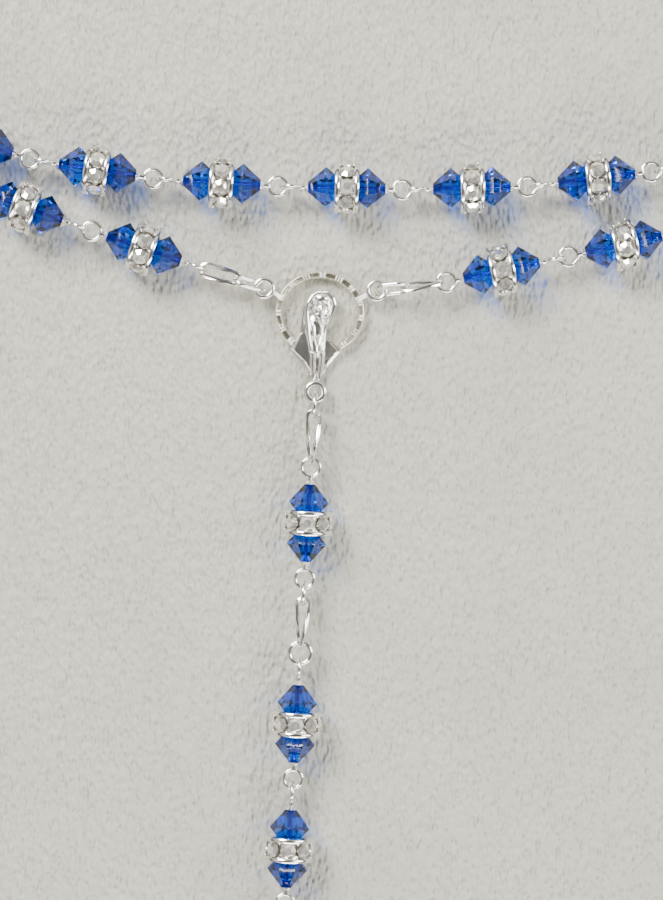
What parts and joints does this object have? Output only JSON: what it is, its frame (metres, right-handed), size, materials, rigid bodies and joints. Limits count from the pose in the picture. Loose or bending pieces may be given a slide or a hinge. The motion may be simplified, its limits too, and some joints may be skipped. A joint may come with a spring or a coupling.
{
  "type": "rosary",
  "caption": "Loop-linked rosary laid flat: blue bicone crystals with rhinestone rondelles on silver eye pins, an open-halo centrepiece medal, a drop chain and a cross.",
  "frame": {"origin": "centre of the centrepiece's halo ring on its flat back", "axes": "+Z out of the medal's front, up when the rosary lies flat; +Y towards the top of the medal; +X to the medal viewer's right"},
  "size_m": [0.4796, 0.3004, 0.008],
  "materials": {
    "silver_plate": "bright silver plating with darker recesses",
    "blue_crystal": "cut and polished blue crystal",
    "rhinestone_rondelle": "silver-plated plates set with clear cut stones"
  },
  "bodies": {
    "centrepiece": {"centrepiece": "silver_plate"},
    "drop_jump_ring": {"drop_jump_ring": "silver_plate"},
    "drop_long_link": {"drop_long_link": "silver_plate"},
    "father_1": {"father_1_pin": "silver_plate", "father_1_crystals": "blue_crystal", "father_1_rondelle": "rhinestone_rondelle"},
    "father_1_short_link": {"father_1_short_link": "silver_plate"},
    "drop_middle_link": {"drop_middle_link": "silver_plate"},
    "hail_1_short_link": {"hail_1_short_link": "silver_plate"},
    "hail_1": {"hail_1_pin": "silver_plate", "hail_1_crystals": "blue_crystal", "hail_1_rondelle": "rhinestone_rondelle"},
    "hail_2": {"hail_2_pin": "silver_plate", "hail_2_crystals": "blue_crystal", "hail_2_rondelle": "rhinestone_rondelle"},
    "hail_3": {"hail_3_pin": "silver_plate", "hail_3_crystals": "blue_crystal", "hail_3_rondelle": "rhinestone_rondelle"},
    "hail_3_short_link": {"hail_3_short_link": "silver_plate"},
    "drop_lower_link": {"drop_lower_link": "silver_plate"},
    "father_2_short_link": {"father_2_short_link": "silver_plate"},
    "father_2": {"father_2_pin": "silver_plate", "father_2_crystals": "blue_crystal", "father_2_rondelle": "rhinestone_rondelle"},
    "cross_jump_ring": {"cross_jump_ring": "silver_plate"},
    "cross": {"cross": "silver_plate"},
    "left_oval_link": {"left_oval_link": "silver_plate"},
    "left_long_link": {"left_long_link": "silver_plate"},
    "decade_1": {"decade_1_pins": "silver_plate", "decade_1_crystals": "blue_crystal", "decade_1_rondelles": "rhinestone_rondelle"},
    "spacer_2": {"spacer_2_wirework": "silver_plate", "spacer_2_crystals": "blue_crystal", "spacer_2_rondelle": "rhinestone_rondelle"},
    "decade_2": {"decade_2_pins": "silver_plate", "decade_2_crystals": "blue_crystal", "decade_2_rondelles": "rhinestone_rondelle"},
    "spacer_3": {"spacer_3_wirework": "silver_plate", "spacer_3_crystals": "blue_crystal", "spacer_3_rondelle": "rhinestone_rondelle"},
    "right_oval_link": {"right_oval_link": "silver_plate"},
    "right_long_link": {"right_long_link": "silver_plate"},
    "decade_5": {"decade_5_pins": "silver_plate", "decade_5_crystals": "blue_crystal", "decade_5_rondelles": "rhinestone_rondelle"},
    "spacer_5": {"spacer_5_wirework": "silver_plate", "spacer_5_crystals": "blue_crystal", "spacer_5_rondelle": "rhinestone_rondelle"},
    "decade_4": {"decade_4_pins": "silver_plate", "decade_4_crystals": "blue_crystal", "decade_4_rondelles": "rhinestone_rondelle"},
    "spacer_4": {"spacer_4_wirework": "silver_plate", "spacer_4_crystals": "blue_crystal", "spacer_4_rondelle": "rhinestone_rondelle"},
    "decade_3": {"decade_3_pins": "silver_plate", "decade_3_crystals": "blue_crystal", "decade_3_rondelles": "rhinestone_rondelle"}
  },
  "joints": [
    {"name": "drop_jump_ring_swing", "type": "hinge", "parent": "centrepiece", "child": "drop_jump_ring", "pos_m": [-0.0007, -0.0118, 0.002], "axis": [0, 0, 1], "range_deg": [-35, 35]},
    {"name": "drop_long_link_swing", "type": "hinge", "parent": "drop_jump_ring", "child": "drop_long_link", "pos_m": [-0.00091, -0.01549, 0.004], "axis": [0, 0, -1], "range_deg": [-30, 30]},
    {"name": "father_1_swing", "type": "hinge", "parent": "drop_long_link", "child": "father_1", "pos_m": [-0.00134, -0.02286, 0.004], "axis": [0, 0, 1], "range_deg": [-30, 30]},
    {"name": "father_1_short_link_swing", "type": "hinge", "parent": "father_1", "child": "father_1_short_link", "pos_m": [-0.00239, -0.04119, 0.004], "axis": [0, 0, -1], "range_deg": [-35, 35]},
    {"name": "drop_middle_link_swing", "type": "hinge", "parent": "father_1_short_link", "child": "drop_middle_link", "pos_m": [-0.00258, -0.04448, 0.004], "axis": [0, 0, 1], "range_deg": [-30, 30]},
    {"name": "hail_1_short_link_swing", "type": "hinge", "parent": "drop_middle_link", "child": "hail_1_short_link", "pos_m": [-0.00297, -0.05122, 0.004], "axis": [0, 0, -1], "range_deg": [-30, 30]},
    {"name": "hail_1_swing", "type": "hinge", "parent": "hail_1_short_link", "child": "hail_1", "pos_m": [-0.00307, -0.05287, 0.004], "axis": [0, 0, 1], "range_deg": [-35, 35]},
    {"name": "hail_2_swing", "type": "hinge", "parent": "hail_1", "child": "hail_2", "pos_m": [-0.00417, -0.07204, 0.004], "axis": [0, 0, -1], "range_deg": [-45, 45]},
    {"name": "hail_3_swing", "type": "hinge", "parent": "hail_2", "child": "hail_3", "pos_m": [-0.00542, -0.09121, 0.004], "axis": [0, 0, 1], "range_deg": [-45, 45]},
    {"name": "hail_3_short_link_swing", "type": "hinge", "parent": "hail_3", "child": "hail_3_short_link", "pos_m": [-0.00694, -0.11031, 0.004], "axis": [0, 0, -1], "range_deg": [-35, 35]},
    {"name": "drop_lower_link_swing", "type": "hinge", "parent": "hail_3_short_link", "child": "drop_lower_link", "pos_m": [-0.00723, -0.1136, 0.004], "axis": [0, 0, 1], "range_deg": [-30, 30]},
    {"name": "father_2_short_link_swing", "type": "hinge", "parent": "drop_lower_link", "child": "father_2_short_link", "pos_m": [-0.00784, -0.12032, 0.004], "axis": [0, 0, -1], "range_deg": [-30, 30]},
    {"name": "father_2_swing", "type": "hinge", "parent": "father_2_short_link", "child": "father_2", "pos_m": [-0.008, -0.12197, 0.004], "axis": [0, 0, 1], "range_deg": [-35, 35]},
    {"name": "cross_jump_ring_swing", "type": "hinge", "parent": "father_2", "child": "cross_jump_ring", "pos_m": [-0.00995, -0.14105, 0.004], "axis": [0, 0, -1], "range_deg": [-35, 35]},
    {"name": "cross_swing", "type": "hinge", "parent": "cross_jump_ring", "child": "cross", "pos_m": [-0.01039, -0.14493, 0.002], "axis": [0, 0, 1], "range_deg": [-30, 30]},
    {"name": "left_oval_link_swing", "type": "hinge", "parent": "centrepiece", "child": "left_oval_link", "pos_m": [-0.0086, 0.0042, 0.0026], "axis": [0, 0, 1], "range_deg": [0, 25]},
    {"name": "left_long_link_swing", "type": "hinge", "parent": "left_oval_link", "child": "left_long_link", "pos_m": [-0.0131, 0.00557, 0.004], "axis": [0, 0, -1], "range_deg": [-20, 0]},
    {"name": "decade_1_swing", "type": "hinge", "parent": "left_long_link", "child": "decade_1", "pos_m": [-0.01754, 0.00693, 0.004], "axis": [0, 0, 1], "range_deg": [0, 40]},
    {"name": "spacer_2_swing", "type": "hinge", "parent": "decade_1", "child": "spacer_2", "pos_m": [-0.1978, 0.00246, 0.004], "axis": [0, 0, -1], "range_deg": [-40, 0]},
    {"name": "decade_2_swing", "type": "hinge", "parent": "spacer_2", "child": "decade_2", "pos_m": [-0.22522, 0.03391, 0.004], "axis": [0, 0, 1], "range_deg": [0, 40]},
    {"name": "spacer_3_swing", "type": "hinge", "parent": "decade_2", "child": "spacer_3", "pos_m": [-0.10988, 0.06764, 0.004], "axis": [0, 0, -1], "range_deg": [-30, 15]},
    {"name": "right_oval_link_swing", "type": "hinge", "parent": "centrepiece", "child": "right_oval_link", "pos_m": [0.0088, 0.0038, 0.0026], "axis": [0, 0, -1], "range_deg": [0, 25]},
    {"name": "right_long_link_swing", "type": "hinge", "parent": "right_oval_link", "child": "right_long_link", "pos_m": [0.01348, 0.00426, 0.004], "axis": [0, 0, 1], "range_deg": [-20, 0]},
    {"name": "decade_5_swing", "type": "hinge", "parent": "right_long_link", "child": "decade_5", "pos_m": [0.01889, 0.00491, 0.004], "axis": [0, 0, -1], "range_deg": [0, 25]},
    {"name": "spacer_5_swing", "type": "hinge", "parent": "decade_5", "child": "spacer_5", "pos_m": [0.18748, -0.04304, 0.004], "axis": [0, 0, 1], "range_deg": [-40, 0]},
    {"name": "decade_4_swing", "type": "hinge", "parent": "spacer_5", "child": "decade_4", "pos_m": [0.22563, -0.02595, 0.004], "axis": [0, 0, -1], "range_deg": [0, 40]},
    {"name": "spacer_4_swing", "type": "hinge", "parent": "decade_4", "child": "spacer_4", "pos_m": [0.14035, 0.06677, 0.004], "axis": [0, 0, 1], "range_deg": [-20, 0]},
    {"name": "decade_3_swing", "type": "hinge", "parent": "spacer_4", "child": "decade_3", "pos_m": [0.10444, 0.04397, 0.004], "axis": [0, 0, -1], "range_deg": [0, 25]}
  ]
}
